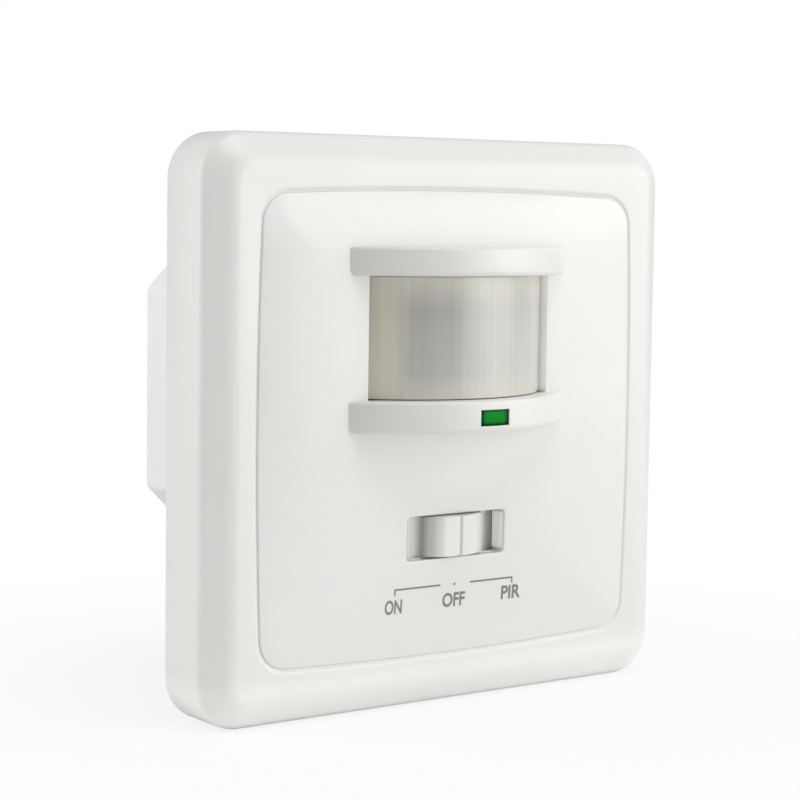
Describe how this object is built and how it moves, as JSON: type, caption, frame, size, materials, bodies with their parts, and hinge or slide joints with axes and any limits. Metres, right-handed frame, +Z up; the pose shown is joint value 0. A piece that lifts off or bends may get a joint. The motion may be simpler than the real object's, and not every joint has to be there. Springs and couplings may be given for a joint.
{
  "type": "motion sensor light switch",
  "caption": "Square flush-mounted wall switch with a curved motion sensor lens between two lips, a slider with three positions and an octagonal rear housing.",
  "frame": {"origin": "middle between the box screws, on the wall face: the plane of the mounting plate's back", "axes": "+Z up on the wall, +X to the right seen from the room, -Y into the room and +Y into the wall box"},
  "size_m": [0.081, 0.0532, 0.081],
  "materials": {
    "frame_white": "satin white moulded plastic, fine grain",
    "panel_white": "satin white moulded plastic, fine grain",
    "knob_white": "satin white moulded plastic",
    "lens_milky": "milky translucent polyethylene with upright rows",
    "window_green": "clear green moulded plastic",
    "housing_white": "matt white moulded plastic",
    "inner_white": "matt white moulded plastic",
    "plate_steel": "zinc-plated pressed steel",
    "screw_steel": "zinc-plated steel",
    "board_green": "solder mask on glass fibre laminate",
    "can_steel": "nickel-plated pressed can",
    "filter_dark": "dark coated filter",
    "tinned_metal": "tinned wire",
    "black_plastic": "matt black moulded plastic",
    "sensor_clear": "clear resin over a pale disc",
    "lamp_green": "clear pale green resin",
    "trimmer_blue": "blue moulded plastic",
    "rotor_white": "white moulded plastic",
    "relay_blue": "blue moulded case",
    "film_grey": "grey moulded case",
    "can_sleeve": "shrunk dark blue sleeve",
    "disc_blue": "blue dipped coat",
    "resistor_beige": "beige lacquer",
    "terminal_grey": "grey moulded plastic",
    "brass": "nickel-plated brass"
  },
  "bodies": {
    "switch": {"outer_frame": "frame_white", "front_panel": "panel_white", "fresnel_lens": "lens_milky", "lens_retainer": "inner_white", "led_window": "window_green", "carrier": "inner_white", "mounting_plate": "plate_steel", "rear_housing": "housing_white", "assembly_screws": "screw_steel", "sensor_board": "board_green", "pir_sensor_can": "can_steel", "pir_sensor_filter": "filter_dark", "pir_sensor_leads": "tinned_metal", "light_sensor": "sensor_clear", "indicator_led": "lamp_green", "control_chip": "black_plastic", "time_trimmer_body": "trimmer_blue", "lux_trimmer_body": "trimmer_blue", "slide_switch_case": "black_plastic", "slide_switch_contacts": "tinned_metal", "header_strip": "black_plastic", "header_socket": "black_plastic", "header_pins": "tinned_metal", "power_board": "board_green", "relay": "relay_blue", "film_capacitor": "film_grey", "electrolytic_capacitor": "can_sleeve", "varistor": "disc_blue", "fuse_resistor": "resistor_beige", "rectifier_diodes": "black_plastic", "terminal_block": "terminal_grey", "terminal_clamps": "brass", "terminal_screws": "screw_steel"},
    "slider": {"slide_knob": "knob_white", "slide_switch_stem": "black_plastic", "slide_switch_wiper": "brass"},
    "time_dial": {"time_trimmer_rotor": "rotor_white"},
    "lux_dial": {"lux_trimmer_rotor": "rotor_white"}
  },
  "joints": [
    {"name": "slider_travel", "type": "slide", "parent": "switch", "child": "slider", "axis": [1, 0, 0], "range_m": [-0.003, 0.003]},
    {"name": "time_dial_turn", "type": "hinge", "parent": "switch", "child": "time_dial", "pos_m": [-0.01127, -0.0072, -0.004], "axis": [0, -1, 0], "range_deg": [-120, 120]},
    {"name": "lux_dial_turn", "type": "hinge", "parent": "switch", "child": "lux_dial", "pos_m": [0.01127, -0.0072, -0.004], "axis": [0, -1, 0], "range_deg": [-120, 120]}
  ]
}
